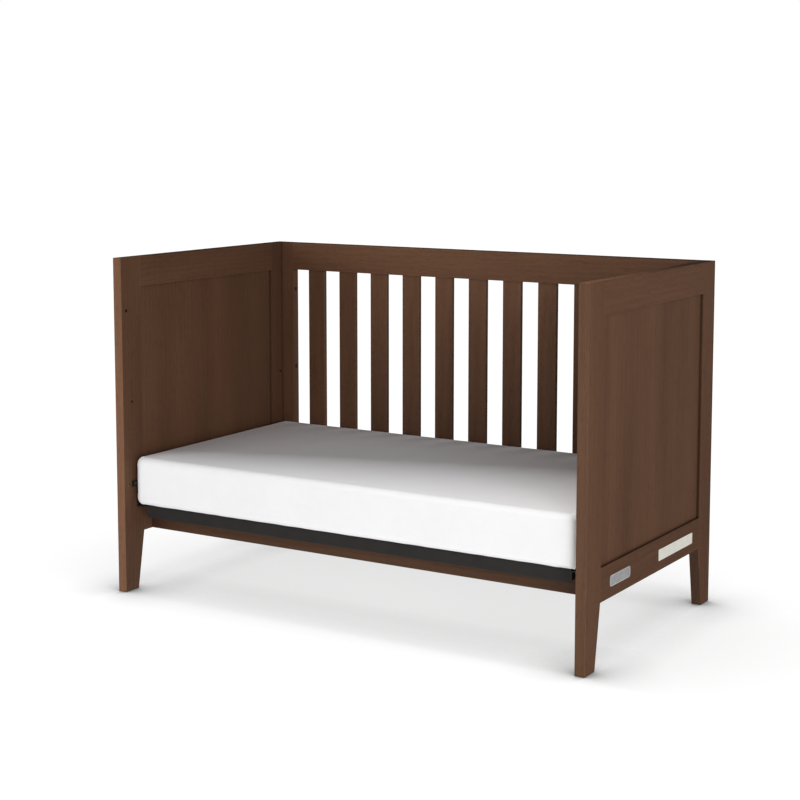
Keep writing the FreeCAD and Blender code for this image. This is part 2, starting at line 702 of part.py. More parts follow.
for side_name, side in SIDES:
    name = f"support_{side_name}_bar"
    web_x = f"({side}) * {SUPPORT_HALF_LENGTH} - {(side + 1) // 2} * angle_sheet"
    flange_x = f"({side}) * {SUPPORT_HALF_LENGTH} - {(side + 1) // 2} * angle_width"
    web_y = f"({SUPPORT_HALF_WIDTH} - angle_sheet)"
    flange_y = f"({SUPPORT_HALF_WIDTH} - angle_width)"
    angle = fuse(name + "_angle", [
        block(name + "_web", (web_x, f"0 - {web_y}", "support_top - angle_width"),
              ("angle_sheet", f"2 * {web_y}", "angle_width - angle_sheet")),
        block(name + "_flange", (flange_x, f"0 - {flange_y}", "support_top - angle_sheet"),
              ("angle_width", f"2 * {flange_y}", "angle_sheet"))])
    holes = [rod(f"{name}_hole_{index}",
                 (f"({side}) * ({SUPPORT_HALF_LENGTH} - angle_width + hook_hole_inset)",
                  f"({index} - (long_wire_count - 1) / 2) * long_wire_pitch", hole_height),
                 PLUS_Z, "2 * angle_sheet", "hook_hole_radius")
             for index in range(DIMENSIONS["long_wire_count"])]
    keep(name, cut(name, angle, holes))

tube_y = f"({SUPPORT_HALF_WIDTH} - angle_sheet)"
cross_tubes = []
for side_name, side in SIDES:
    start = (f"({side}) * cross_tube_spacing / 2", f"0 - {tube_y}", "cross_tube_height")
    outer = rod(f"{side_name}_cross_tube_wall", start, PLUS_Y, f"2 * {tube_y}",
                "cross_tube_radius")
    bore = rod(f"{side_name}_cross_tube_bore", start, PLUS_Y, f"2 * {tube_y}",
               "cross_tube_bore")
    cross_tubes.append(cut(f"{side_name}_cross_tube", outer, [bore]))
keep("support_cross_tubes", group("support_cross_tubes", cross_tubes))

# A wire ends where the hooks of its two springs begin.
spring_reach = "(angle_width + 2 * spring_hook_length + spring_length)"
long_half = f"({SUPPORT_HALF_LENGTH} - {spring_reach})"
cross_half = f"({SUPPORT_HALF_WIDTH} - {spring_reach})"
long_z = "deck_height + wire_radius"
cross_z = "deck_height - wire_radius"
long_wires = []
cross_wires = []
springs = []
for index in range(DIMENSIONS["long_wire_count"]):
    y = f"({index} - (long_wire_count - 1) / 2) * long_wire_pitch"
    long_wires.append(rod(f"long_wire_{index + 1}", (f"0 - {long_half}", y, long_z), PLUS_X,
                          f"2 * {long_half}", "wire_radius"))
    anchor = f"({SUPPORT_HALF_LENGTH} - angle_width + hook_hole_inset)"
    springs += [spring(f"left_spring_{index + 1}", (f"0 - {anchor}", y, long_z), PLUS_X),
                spring(f"right_spring_{index + 1}", (anchor, y, long_z), MINUS_X)]
for index in range(DIMENSIONS["cross_wire_count"]):
    x = f"({index} - (cross_wire_count - 1) / 2) * cross_wire_pitch"
    cross_wires.append(rod(f"cross_wire_{index + 1}", (x, f"0 - {cross_half}", cross_z), PLUS_Y,
                           f"2 * {cross_half}", "wire_radius"))
    anchor = f"({SUPPORT_HALF_WIDTH} - angle_width + hook_hole_inset)"
    springs += [spring(f"front_spring_{index + 1}", (x, f"0 - {anchor}", cross_z), PLUS_Y),
                spring(f"rear_spring_{index + 1}", (x, anchor, cross_z), MINUS_Y)]
keep("deck_long_wires", group("deck_long_wires", long_wires))
keep("deck_cross_wires", group("deck_cross_wires", cross_wires))
keep("deck_springs", group("deck_springs", springs))


def fork(name, side, end):
    """A corner bracket: welded tab, level web, upright post, and an arm at its top whose
    open slot drops over the bolt."""
    turned = (side + 1) // 2
    rear = (end + 1) // 2
    plate_x = f"({side}) * ({END_INNER} - fork_gap) - {turned} * fork_sheet"
    bolt_y = f"({end}) * {SUPPORT_BOLT_Y}"
    web_edge = f"({SUPPORT_HALF_WIDTH} - fork_web_width)"
    web_y = f"({end}) * {web_edge} - {1 - rear} * fork_web_width"
    arm_length = f"({SUPPORT_BOLT_Y} + fork_width / 2 - {web_edge})"
    arm_y = f"({end}) * {web_edge} - {1 - rear} * {arm_length}"
    tab_x = f"({side}) * {SUPPORT_HALF_LENGTH} - {1 - turned} * fork_sheet"
    span = "(support_end_gap - fork_gap)"
    span_x = f"({side}) * {SUPPORT_HALF_LENGTH} - {1 - turned} * {span}"
    base = "(support_top - fork_foot_height)"
    arm_base = "(support_bolt_height - fork_drop)"
    solid = fuse(name + "_solid", [
        block(name + "_tab", (tab_x, web_y, "support_top - angle_width"),
              ("fork_sheet", "fork_web_width", "angle_width - fork_foot_height + fork_sheet")),
        block(name + "_web", (span_x, web_y, base), (span, "fork_web_width", "fork_sheet")),
        block(name + "_post", (plate_x, web_y, base),
              ("fork_sheet", "fork_web_width", f"support_bolt_height + fork_rise - {base}")),
        block(name + "_arm", (plate_x, arm_y, arm_base),
              ("fork_sheet", arm_length, "fork_rise + fork_drop"))])
    slot_x = f"({side}) * ({END_INNER} - fork_gap) - {turned} * fork_sheet - overshoot"
    slot = [
        block(name + "_slot",
              (slot_x, f"{bolt_y} - fork_slot_radius", f"{arm_base} - overshoot"),
              ("fork_sheet + 2 * overshoot", "2 * fork_slot_radius", "fork_drop + overshoot")),
        rod(name + "_slot_end", (slot_x, bolt_y, "support_bolt_height"), PLUS_X,
            "fork_sheet + 2 * overshoot", "fork_slot_radius")]
    return cut(name, solid, slot)


for side_name, side in SIDES:
    for end_name, end in (("front", -1), ("rear", 1)):
        name = f"{end_name}_{side_name}_fork"
        keep(name, fork(name, side, end))

# ---------------------------------------------------------------- mattress


def cushion_body(name, inset):
    """A block with rounded corners and edges, smaller all round by an inset."""
    body = new_body(name)
    block_pad = extrude(body, name + "_block", "Pad", "XY_Plane", rectangle(
        f"{inset} - mattress_length / 2", f"{inset} - mattress_depth / 2",
        f"mattress_length / 2 - {inset}", f"mattress_depth / 2 - {inset}"),
        f"mattress_height - 2 * {inset}")
    corners = round_edges(body, name + "_corners", block_pad,
                          f"mattress_corner_radius - {inset}",
                          lambda middle: near(middle.z, 0))
    round_edges(body, name + "_edges", corners, f"mattress_edge_radius - {inset}",
                lambda middle: abs(middle.z) > 1)
    return place(body, 0, f"mattress_setback + mattress_depth / 2 - {HALF_WIDTH}",
                 "mattress_bottom + mattress_height / 2")


keep("mattress_core", cushion_body("mattress_core", "bedsheet_thickness"))
opening = block(
    "bedsheet_opening",
    ("bedsheet_hem - mattress_length / 2", f"mattress_setback + bedsheet_hem - {HALF_WIDTH}",
     "mattress_bottom - overshoot"),
    ("mattress_length - 2 * bedsheet_hem", "mattress_depth - 2 * bedsheet_hem",
     "mattress_height / 2"))
keep("fitted_sheet", cut("fitted_sheet", cushion_body("fitted_sheet_outer", 0), [
    cushion_body("fitted_sheet_inner", "bedsheet_thickness"), opening]))

# ---------------------------------------------------------------- checks and export

doc.recompute()
for thing in doc.Objects:
    if "Invalid" in thing.State or "Error" in thing.State:
        raise RuntimeError(f"{thing.Name} did not rebuild: {thing.State}")
os.makedirs("parts", exist_ok=True)
for node in nodes:
    shape = node.Shape
    if shape.isNull() or not shape.isValid() or not shape.Solids:
        raise RuntimeError(f"{node.Label} has no valid solid")
    shape.exportStep(f"parts/{node.Label}.step")
    print(node.Label, len(shape.Solids), round(shape.Volume), shape.BoundBox)
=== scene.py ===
import math

import bmesh
import bpy
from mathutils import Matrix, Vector, kdtree, noise


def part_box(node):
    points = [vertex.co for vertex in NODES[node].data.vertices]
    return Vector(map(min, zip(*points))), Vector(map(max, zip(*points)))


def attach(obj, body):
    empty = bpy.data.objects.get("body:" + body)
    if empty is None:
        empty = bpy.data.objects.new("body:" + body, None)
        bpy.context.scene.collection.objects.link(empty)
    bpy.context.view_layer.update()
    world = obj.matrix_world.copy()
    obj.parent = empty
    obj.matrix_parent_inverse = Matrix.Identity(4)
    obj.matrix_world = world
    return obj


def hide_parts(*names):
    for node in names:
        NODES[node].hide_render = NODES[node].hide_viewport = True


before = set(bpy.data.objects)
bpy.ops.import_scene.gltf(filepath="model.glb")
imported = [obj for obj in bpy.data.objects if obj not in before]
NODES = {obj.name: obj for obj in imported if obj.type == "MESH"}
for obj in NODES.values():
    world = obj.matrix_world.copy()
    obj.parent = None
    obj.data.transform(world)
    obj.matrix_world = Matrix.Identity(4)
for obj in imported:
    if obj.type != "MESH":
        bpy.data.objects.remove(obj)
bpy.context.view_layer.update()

# Looks of a baby crib in its open-front day-bed form. Metres. X runs along the length, the
# open front faces -Y, and the floor is at Z 0.

scene = bpy.context.scene


# ------------------------------------------------------------------------------ camera

# The camera looks down by its pitch, and is turned from straight at the open front.
CAMERA_PLACE = (2.3194, -3.7939, 1.2512)
CAMERA_PITCH = math.radians(6.554)
CAMERA_TURN = 0.5551
CAMERA_LENS = 76.98
CAMERA_SHIFT = -0.10

camera = bpy.data.objects.new("camera", bpy.data.cameras.new("camera"))
scene.collection.objects.link(camera)
camera.location = CAMERA_PLACE
camera.rotation_euler = (math.pi / 2 - CAMERA_PITCH, 0, CAMERA_TURN)
camera.data.lens = CAMERA_LENS
camera.data.shift_y = CAMERA_SHIFT
scene.camera = camera
scene.view_settings.view_transform = "Standard"


# ------------------------------------------------------------------------ node helpers

def node(tree, kind, inputs=None, **settings):
    """Adds a shader node. inputs maps socket names or numbers to values or to other sockets."""
    made = tree.nodes.new(kind)
    for name, value in settings.items():
        setattr(made, name, value)
    for socket, value in (inputs or {}).items():
        if isinstance(value, bpy.types.NodeSocket):
            tree.links.new(value, made.inputs[socket])
        else:
            made.inputs[socket].default_value = value
    return made


def calc(tree, operation, first, second=0.0):
    return node(tree, "ShaderNodeMath", {0: first, 1: second}, operation=operation).outputs[0]


def weighted(tree, *parts):
    """The sum of some values, each given with its weight."""
    products = [calc(tree, "MULTIPLY", value, weight) for value, weight in parts]
    total = products[0]
    for product in products[1:]:
        total = calc(tree, "ADD", total, product)
    return total


def axis_value(tree, vector, axis):
    """One of a vector's three values, by its letter or number."""
    return node(tree, "ShaderNodeSeparateXYZ", {0: vector}).outputs[axis]


def remap(tree, value, low, high, new_low, new_high):
    """value's range low to high becomes new_low to new_high, and stays inside it."""
    inputs = {"Value": value, "From Min": low, "From Max": high,
              "To Min": new_low, "To Max": new_high}
    return node(tree, "ShaderNodeMapRange", inputs).outputs["Result"]


def blend_colours(tree, factor, first, second):
    inputs = {0: factor, 6: first, 7: second}
    return node(tree, "ShaderNodeMix", inputs, data_type="RGBA").outputs[2]


SCATTER_RATIOS = (1.0, 1.7, 2.3)


def local(tree, scale=(1, 1, 1), turn=(0, 0, 0), scatter=0.0):
    """Object coordinates, scaled. scatter moves the pattern by a random distance on each piece."""
    place = node(tree, "ShaderNodeTexCoord").outputs["Object"]
    if scatter:
        lot = node(tree, "ShaderNodeObjectInfo").outputs["Random"]
        shifts = {i: calc(tree, "MULTIPLY", lot, scatter * ratio)
                  for i, ratio in enumerate(SCATTER_RATIOS)}
        spread = node(tree, "ShaderNodeCombineXYZ", shifts).outputs[0]
        place = node(tree, "ShaderNodeVectorMath", {0: place, 1: spread}).outputs[0]
    inputs = {"Vector": place, "Scale": scale, "Rotation": turn}
    return node(tree, "ShaderNodeMapping", inputs).outputs[0]


def grain(tree, vector, scale, detail, roughness=0.5):
    inputs = {"Vector": vector, "Scale": scale, "Detail": detail, "Roughness": roughness}
    return node(tree, "ShaderNodeTexNoise", inputs).outputs["Fac"]


def bump(tree, height, distance, strength):
    inputs = {"Height": height, "Distance": distance, "Strength": strength}
    return node(tree, "ShaderNodeBump", inputs).outputs[0]


# How alike the bevelled and the true normal are where an edge starts to show, and where it is
# at its plainest.
ARRIS_STARTS = 0.99
ARRIS_PLAIN = 0.85


def arris(tree, radius):
    """1 on sharp outer and inner edges, 0 on flat faces."""
    rounded = node(tree, "ShaderNodeBevel", {"Radius": radius}, samples=4).outputs[0]
    flat = node(tree, "ShaderNodeNewGeometry").outputs["Normal"]
    likeness = node(tree, "ShaderNodeVectorMath", {0: rounded, 1: flat}, operation="DOT_PRODUCT")
    return remap(tree, likeness.outputs["Value"], ARRIS_STARTS, ARRIS_PLAIN, 0.0, 1.0)


def scale_colour(tree, colour, factor):
    inputs = {0: colour, "Scale": factor}
    return node(tree, "ShaderNodeVectorMath", inputs, operation="SCALE").outputs[0]


def open_share(tree, reach, samples):
    """The share of the view from a surface that nothing blocks within reach."""
    inputs = {"Distance": reach}
    return node(tree, "ShaderNodeAmbientOcclusion", inputs, samples=samples).outputs["AO"]


CREVICE_DEEP = 0.5
CREVICE_STARTS = 0.85


def paint_crevice_shade(tree, colour, reach, darkest):
    """Painted shade: a surface is darker where another surface is within reach."""
    share = open_share(tree, reach, 6)
    return scale_colour(tree, colour, remap(tree, share, CREVICE_DEEP, CREVICE_STARTS, darkest, 1.0))


def new_material(name):
    """An empty material. Returns it with its node tree."""
    material = bpy.data.materials.new(name)
    material.use_nodes = True
    material.node_tree.nodes.clear()
    return material, material.node_tree


def finish_material(tree, **sockets):
    """Adds the surface shader. Underscores in socket names stand for spaces."""
    inputs = {name.replace("_", " "): value for name, value in sockets.items()}
    shader = node(tree, "ShaderNodeBsdfPrincipled", inputs)
    node(tree, "ShaderNodeOutputMaterial", {"Surface": shader.outputs[0]})


# --------------------------------------------------------------------------- materials

WALNUT_DARK = (0.082, 0.037, 0.0190, 1)
WALNUT_LIGHT = (0.158, 0.076, 0.0405, 1)
WALNUT_PORE = (0.045, 0.022, 0.013, 1)
WALNUT_WORN = (0.21, 0.125, 0.08, 1)
RINGS_WEIGHT = 0.08
CLOUD_WEIGHT = 0.62
FIBRE_WEIGHT = 0.17
STREAK_WEIGHT = 0.15
LOT_SPREAD = 0.04
DARKEST_TONE = 0.23
LIGHTEST_TONE = 0.79
RING_TILT = math.radians(3.5)
# The painted shade at a board's foot fades out between these heights above its object's origin.
FOOT_LOW = 0.42
FOOT_HIGH = 0.80
# A face counts as a front face if its normal's Y lies below this.
FRONT_FACE = -0.7


def walnut(axis):
    """Dark stained walnut with its grain along an axis, under a satin lacquer."""
    material, tree = new_material("walnut_" + "xyz"[axis])

    def stretched(across, along):
        return tuple(along if i == axis else across for i in range(3))

    tilt = [0.0, 0.0, 0.0]
    tilt[(axis + 1) % 3] = RING_TILT
    inputs = {
        "Vector": local(tree, stretched(1.0, 0.22), tuple(tilt), scatter=3.1),
        "Scale": 24.0,
        "Distortion": 5.5,
        "Detail": 3.0,
        "Detail Scale": 1.4,
        "Detail Roughness": 0.6,
    }
    rings = node(tree, "ShaderNodeTexWave", inputs, wave_type="RINGS",
                 rings_direction="XYZ"[axis]).outputs["Fac"]
    cloud = grain(tree, local(tree, stretched(9.0, 1.1), scatter=5.3), 1.0, 3.0)
    fibre = grain(tree, local(tree, stretched(620.0, 9.0), scatter=2.9), 1.0, 3.0, 0.65)
    streak = grain(tree, local(tree, stretched(95.0, 1.6), scatter=4.1), 1.0, 2.0, 0.55)
    pores = grain(tree, local(tree, stretched(1500.0, 42.0), scatter=1.3), 1.0, 1.0)

    tone = weighted(tree, (rings, RINGS_WEIGHT), (cloud, CLOUD_WEIGHT), (fibre, FIBRE_WEIGHT),
                    (streak, STREAK_WEIGHT))
    info = node(tree, "ShaderNodeObjectInfo").outputs
    tone = calc(tree, "ADD", tone, remap(tree, info["Random"], 0.0, 1.0, -LOT_SPREAD, LOT_SPREAD))
    shade = remap(tree, tone, DARKEST_TONE, LIGHTEST_TONE, 0.0, 1.0)
    colour = blend_colours(tree, shade, WALNUT_DARK, WALNUT_LIGHT)
    pore_mask = remap(tree, pores, 0.60, 0.72, 0.0, 0.75)
    colour = blend_colours(tree, pore_mask, colour, WALNUT_PORE)

    # The object colour holds the board's three tones, partly its own tone and partly painted light and
    # shade: one for its front faces, one for its other faces, and a painted shade at its foot.
    front_tone_and_light, rest_tone_and_light, painted_foot_shade = (axis_value(tree, info["Color"], i) for i in "XYZ")
    facing = axis_value(tree, node(tree, "ShaderNodeNewGeometry").outputs["Normal"], "Y")
    face_tone_and_light = remap(tree, calc(tree, "LESS_THAN", facing, FRONT_FACE), 0.0, 1.0,
                       rest_tone_and_light, front_tone_and_light)
    height = axis_value(tree, local(tree), "Z")
    painted_foot_shade = remap(tree, height, FOOT_LOW, FOOT_HIGH, painted_foot_shade, 1.0)
    colour = scale_colour(tree, colour, calc(tree, "MULTIPLY", face_tone_and_light, painted_foot_shade))

    worn = calc(tree, "MULTIPLY", arris(tree, 0.0022), remap(tree, cloud, 0.35, 0.7, 0.15, 0.6))
    colour = blend_colours(tree, worn, colour, WALNUT_WORN)
    # Painted shade in the joints and inside corners, where another part is within 8 mm.
    colour = paint_crevice_shade(tree, colour, 0.008, 0.45)

    gloss = remap(tree, fibre, 0.3, 0.7, 0.50, 0.60)
    gloss = calc(tree, "ADD", gloss, calc(tree, "MULTIPLY", pore_mask, 0.12))
    relief = weighted(tree, (fibre, 0.5), (pore_mask, -1.0))
    finish_material(tree, Base_Color=colour, Roughness=gloss, IOR=1.5, Specular_IOR_Level=0.24,
                    Normal=bump(tree, relief, 0.00012, 0.6))
    return material


COAT_DARK = (0.021, 0.0185, 0.0175, 1)
COAT_LIGHT = (0.031, 0.0275, 0.0262, 1)
COAT_RUBBED = (0.11, 0.105, 0.10, 1)


def powder_coat():
    """Dark grey powder coat with its fine orange peel."""
    material, tree = new_material("powder_coat")
    peel = grain(tree, local(tree), 900.0, 2.0)
    patch = grain(tree, local(tree), 22.0, 3.0)
    colour = blend_colours(tree, patch, COAT_DARK, COAT_LIGHT)
    rubbed = calc(tree, "MULTIPLY", arris(tree, 0.0012), 0.4)
    colour = blend_colours(tree, rubbed, colour, COAT_RUBBED)
    # Painted shade where another part is close, such as the rail's top under the mattress's overhang.
    colour = paint_crevice_shade(tree, colour, 0.02, 0.3)
    finish_material(tree, Base_Color=colour, Roughness=remap(tree, peel, 0.3, 0.7, 0.42, 0.56),
                    Specular_IOR_Level=0.32, Normal=bump(tree, peel, 0.00012, 0.5))
    return material


SUNK_TONE = 0.66


def metal(name, dark, light, rough, stretch=(1, 1, 1), metallic=1.0, sunk_x=None):
    """Bare or plated metal: a fine drawn or brushed grain over broad stains. It is darker where
    its surface lies below sunk_x."""
    material, tree = new_material(name)
    brushed = grain(tree, local(tree, stretch), 700.0, 3.0, 0.6)
    stain = grain(tree, local(tree), 60.0, 3.0, 0.6)
    mixed = weighted(tree, (brushed, 0.5), (stain, 0.5))
    colour = blend_colours(tree, remap(tree, mixed, 0.35, 0.65, 0.0, 1.0), dark, light)
    if sunk_x is not None:
        sunk = calc(tree, "LESS_THAN", axis_value(tree, local(tree), "X"), sunk_x)
        colour = scale_colour(tree, colour, remap(tree, sunk, 0.0, 1.0, 1.0, SUNK_TONE))
    finish_material(tree, Base_Color=colour, Metallic=metallic,
                    Roughness=remap(tree, mixed, 0.35, 0.65, rough + 0.08, rough - 0.06),
                    Normal=bump(tree, brushed, 0.00006, 0.6))
    return material


def plastic(name, dark, light, rough):
    """Moulded plastic or vinyl with a fine matt texture."""
    material, tree = new_material(name)
    texture = grain(tree, local(tree), 1200.0, 2.0)
    patch = grain(tree, local(tree), 35.0, 3.0)
    colour = blend_colours(tree, remap(tree, patch, 0.3, 0.7, 0.0, 1.0), dark, light)
    finish_material(tree, Base_Color=colour,
                    Roughness=remap(tree, texture, 0.3, 0.7, rough - 0.05, rough + 0.07),
                    Normal=bump(tree, texture, 0.00008, 0.5))
    return material


SLUB_SCALES = ((260, 40, 260), (40, 260, 40))


def cloth(name, dark, light, thread, relief, sheen):
    """Plain-weave cotton: crossed threads of that pitch, with slubs and soft laundered shading."""
    material, tree = new_material(name)
    place = local(tree, (1 / thread,) * 3)
    waves = [calc(tree, "SINE", calc(tree, "MULTIPLY", axis_value(tree, place, i), 2 * math.pi))
             for i in range(3)]
    # On each face two of the three waves cross, and the third is the same all over it.
    weave = calc(tree, "ADD", calc(tree, "MULTIPLY", waves[0], waves[1]),
                 calc(tree, "MULTIPLY", waves[2], calc(tree, "ADD", waves[0], waves[1])))
    long_slubs, cross_slubs = (grain(tree, local(tree, scale), 1.0, 3.0, 0.6) for scale in SLUB_SCALES)
    slubs = weighted(tree, (long_slubs, 0.5), (cross_slubs, 0.5))
    patch = grain(tree, local(tree), 7.0, 3.0, 0.5)
    mixed = weighted(tree, (slubs, 0.6), (patch, 0.4))
    colour = blend_colours(tree, remap(tree, mixed, 0.35, 0.65, 0.0, 1.0), dark, light)
    height = weighted(tree, (weave, 0.25), (slubs, 1.6))
    finish_material(tree, Base_Color=colour, Roughness=remap(tree, slubs, 0.3, 0.7, 0.82, 0.95),
                    Sheen_Weight=sheen, Sheen_Roughness=0.5, IOR=1.4,
                    Normal=bump(tree, height, relief, 0.7))
    return material


# A height halfway between the badge's raised border and its field, which is 0.4 mm lower.
BADGE_HALFWAY = 0.0002
BADGE_FIELD_X = (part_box("badge_plate")[1].x - BADGE_HALFWAY
                 - NODES["badge_plate"].matrix_world.translation.x)

WALNUT = [walnut(axis) for axis in range(3)]
STEEL_COAT = powder_coat()
WIRE = metal("spring_wire", (0.30, 0.30, 0.31, 1), (0.50, 0.50, 0.51, 1), 0.36)
BRACKET_ZINC = metal("bracket_zinc", (0.42, 0.42, 0.41, 1), (0.62, 0.62, 0.60, 1), 0.38)
BOLT_ZINC = metal("bolt_zinc", (0.13, 0.125, 0.12, 1), (0.23, 0.22, 0.21, 1), 0.36)
BRASS = metal("brass", (0.26, 0.18, 0.075, 1), (0.44, 0.32, 0.14, 1), 0.38)
BADGE = metal("brushed_aluminium", (0.66, 0.66, 0.67, 1), (0.90, 0.90, 0.91, 1), 0.45,
              stretch=(1, 0.06, 1), metallic=0.25, sunk_x=BADGE_FIELD_X)
NYLON = plastic("nylon", (0.045, 0.036, 0.031, 1), (0.062, 0.05, 0.043, 1), 0.5)
VINYL = plastic("vinyl", (0.86, 0.84, 0.74, 1), (0.93, 0.91, 0.82, 1), 0.48)
SHEET_COTTON = cloth("sheet_cotton", (0.875, 0.870, 0.878, 1), (0.915, 0.910, 0.918, 1),
                     thread=0.0011, relief=0.00008, sheen=0.12)
TICKING = cloth("mattress_ticking", (0.74, 0.73, 0.71, 1), (0.82, 0.81, 0.79, 1),
                thread=0.0016, relief=0.00014, sheen=0.08)

SLOT_MATERIALS = {
    "frame_steel": STEEL_COAT,
    "wire_steel": WIRE,
    "bracket_steel": BRACKET_ZINC,
    "zinc_steel": BOLT_ZINC,
    "insert_brass": BRASS,
    "glide_plastic": NYLON,
    "badge_metal": BADGE,
    "label_vinyl": VINYL,
}

# How much lighter or darker than plain walnut a board is: on its front faces, on its other faces,
# and at its foot besides. Partly the board's own tone, and partly painted light and shade: a
# face lit or shaded apart from the others, the stretcher darkened as if in shadow under the
# mattress, and the slats darker towards their feet.
PLAIN_BOARD = (1.0, 1.0, 1.0)
BOARD_TONES_AND_LIGHT = {
    "left_front_leg": (1.62, 0.93, 1.0),
    "left_panel": (1.0, 1.07, 1.0),
    "left_top_rail": (1.0, 1.03, 1.0),
    "right_front_leg": (0.91, 1.16, 1.0),
    "right_rear_leg": (0.62, 1.2, 1.0),
    "right_top_rail": (1.1, 1.26, 1.0),
    "right_bottom_rail": (1.1, 1.12, 1.0),
    "right_panel": (1.1, 1.21, 1.0),
    "back_left_stile": (1.22, 1.0, 1.0),
    "back_top_rail": (1.22, 1.0, 1.0),
    # Painted shade: the stretcher is darkened as if in shadow under the mattress and its support.
    "front_stretcher": (0.72, 0.85, 1.0),
}
# Painted light and shade on the slats: front faces lighter, and darker towards their feet near the
# mattress.
for index in range(3, 12):
    BOARD_TONES_AND_LIGHT[f"back_slat_{index:02d}"] = (1.30, 1.0, 0.63)


def grain_axis(name):
    """Timber has its grain along its longest side, and the two panels have it upright."""
    low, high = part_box(name)
    size = high - low
    return 2 if "panel" in name else max(range(3), key=lambda i: size[i])


for name, obj in NODES.items():
    slot = obj.data.materials[0].name
    if slot == "walnut_wood":
        obj.data.materials[0] = WALNUT[grain_axis(name)]
    elif slot in SLOT_MATERIALS:
        obj.data.materials[0] = SLOT_MATERIALS[slot]
    obj.color = (*BOARD_TONES_AND_LIGHT.get(name, PLAIN_BOARD), 1.0)


# ------------------------------------------------------------------------ mesh helpers

def mesh_object(name, mesh_data, material, smooth=True):
    """A new object from a bmesh, in the scene."""
    mesh = bpy.data.meshes.new(name)
    mesh_data.to_mesh(mesh)
    mesh_data.free()
    obj = bpy.data.objects.new(name, mesh)
    scene.collection.objects.link(obj)
    mesh.materials.append(material)
    if smooth:
        mesh.polygons.foreach_set("use_smooth", [True] * len(mesh.polygons))
    return obj


def frames_along(points, closed=False):
    """A side and an up vector at each point of a path, turned as little as possible."""
    count = len(points)
    tangents = []
    for i in range(count):
        before = points[(i - 1) % count] if closed or i > 0 else points[i]
        after = points[(i + 1) % count] if closed or i < count - 1 else points[i]
        tangents.append((after - before).normalized())
    side = tangents[0].orthogonal().normalized()
    frames = []
    for tangent in tangents:
        side = (side - tangent * side.dot(tangent)).normalized()
        frames.append((side, tangent.cross(side)))
    return frames


def sweep(mesh_data, points, radius, sides, closed=False, flatten=1.0):
    """Adds a round tube along a path. Its open ends are capped."""
    rings = []
    for point, (side, up) in zip(points, frames_along(points, closed)):
        ring = []
        for j in range(sides):
            angle = 2 * math.pi * j / sides
            ring.append(mesh_data.verts.new(
                point + side * (radius * math.cos(angle)) + up * (radius * flatten * math.sin(angle))))
        rings.append(ring)
    pairs = list(zip(rings, rings[1:]))
    if closed:
        pairs.append((rings[-1], rings[0]))
    for first, second in pairs:
        for j in range(sides):
            k = (j + 1) % sides
            mesh_data.faces.new((first[j], first[k], second[k], second[j]))
    if not closed:
        mesh_data.faces.new(list(reversed(rings[0])))
        mesh_data.faces.new(rings[-1])


# ----------------------------------------------------------------------------- springs

# SPRING_WIRE and SPRING_RADIUS are the radius of the wire and the outer radius of the coil. The
# coil starts SPRING_REACH from the hole in the frame, and the hook's straight part ends
# LEAD_IN before it.
SPRING_WIRE = 0.0008
SPRING_RADIUS = 0.0045
SPRING_TURNS = 19
SPRING_REACH = 0.011
SPRING_LENGTH = 0.034
SPRING_EYE = 0.006
LEAD_IN = 0.0035
HOOK_BEND = 0.0025
HOOK_STEPS = 4
EYE_STEPS = 12
WIRE_SIDES = 5
POINTS_PER_TURN = 10
# The coil winds in from this share of its radius over the first and the last quarter turn.
COIL_ENDS = 0.35
HOLE_INSET = 0.005
LONG_WIRE_PITCH = 0.07
CROSS_WIRE_PITCH = 0.09
SUPPORT_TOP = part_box("support_front_rail")[1].z
HOLE_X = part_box("support_right_bar")[0].x + HOLE_INSET
HOLE_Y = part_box("support_rear_rail")[0].y + HOLE_INSET


def spring_path(anchor, outward):
    """One wire: from the hole in the frame, along the hook, round the coil, to the eye."""
    inward = -outward
    up = Vector((0, 0, 1))
    across = up.cross(inward)
    path = [anchor + up * (SUPPORT_TOP - anchor.z), anchor + up * (HOOK_BEND * 1.6)]
    for i in range(HOOK_STEPS + 1):
        angle = math.pi / 2 * i / HOOK_STEPS
        path.append(anchor + inward * (HOOK_BEND - HOOK_BEND * math.cos(angle))
                    + up * (HOOK_BEND - HOOK_BEND * math.sin(angle)))
    path.append(anchor + inward * (SPRING_REACH - LEAD_IN))
    count = SPRING_TURNS * POINTS_PER_TURN
    for i in range(count + 1):
        angle = 2 * math.pi * i / POINTS_PER_TURN
        run = SPRING_REACH + SPRING_WIRE + (SPRING_LENGTH - 2 * SPRING_WIRE) * i / count
        ease = min(1.0, 4 * i / POINTS_PER_TURN, 4 * (count - i) / POINTS_PER_TURN)
        wide = (SPRING_RADIUS - SPRING_WIRE) * (COIL_ENDS + (1 - COIL_ENDS) * ease)
        path.append(anchor + inward * run + across * (wide * math.sin(angle))
                    + up * (wide * math.cos(angle)))
    eye = SPRING_EYE / 2 - SPRING_WIRE / 2
    centre = anchor + inward * (SPRING_REACH + SPRING_LENGTH + eye)
    for i in range(1, EYE_STEPS):
        angle = 2 * math.pi * i / EYE_STEPS
        path.append(centre - inward * (eye * math.cos(angle)) + up * (eye * math.sin(angle)))
    return path


def middle_height(name):
    low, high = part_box(name)
    return (low.z + high.z) / 2


LONG_WIRE_Z = middle_height("deck_long_wires")
CROSS_WIRE_Z = middle_height("deck_cross_wires")
springs_mesh = bmesh.new()
for sign in (-1, 1):
    for i in range(-3, 4):
        anchor = Vector((sign * HOLE_X, LONG_WIRE_PITCH * i, LONG_WIRE_Z))
        sweep(springs_mesh, spring_path(anchor, Vector((sign, 0, 0))), SPRING_WIRE, WIRE_SIDES)
    for i in range(-6, 7):
        anchor = Vector((CROSS_WIRE_PITCH * i, sign * HOLE_Y, CROSS_WIRE_Z))
        sweep(springs_mesh, spring_path(anchor, Vector((0, sign, 0))), SPRING_WIRE, WIRE_SIDES)
springs = mesh_object("coil_springs", springs_mesh, WIRE)
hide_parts("deck_springs")
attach(springs, "mattress_support")


# ------------------------------------------------------------ mattress and fitted sheet

